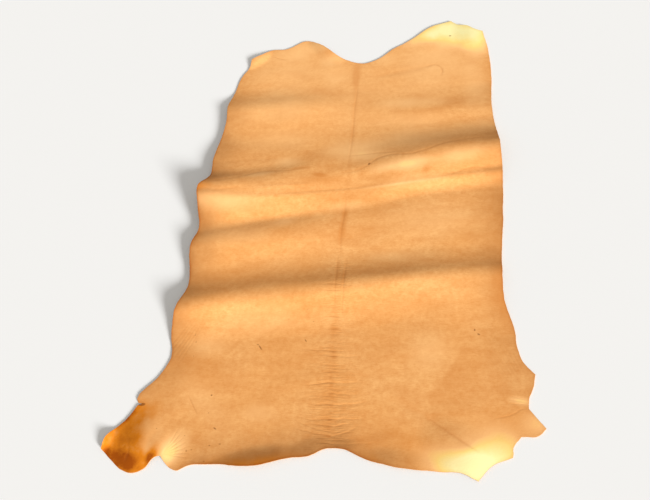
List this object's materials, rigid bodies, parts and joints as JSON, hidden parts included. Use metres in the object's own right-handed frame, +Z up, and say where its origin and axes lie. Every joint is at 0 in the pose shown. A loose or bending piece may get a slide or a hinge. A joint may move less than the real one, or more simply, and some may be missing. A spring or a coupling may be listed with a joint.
{
  "type": "leather hide",
  "caption": "Whole natural vegetable-tanned leather hide lying loose on a floor, with soft folds across its back.",
  "frame": {"origin": "centre of the hide's bounding box, on the floor it lies on", "axes": "+Y from the neck to the rump, +X across the hide to the right when seen from the neck, +Z up from the floor"},
  "size_m": [1.159, 1.6482, 0.05],
  "materials": {
    "leather": "natural undyed vegetable-tanned, smooth grain with a soft sheen"
  },
  "bodies": {
    "root": {"hide": "leather"}
  },
  "joints": []
}
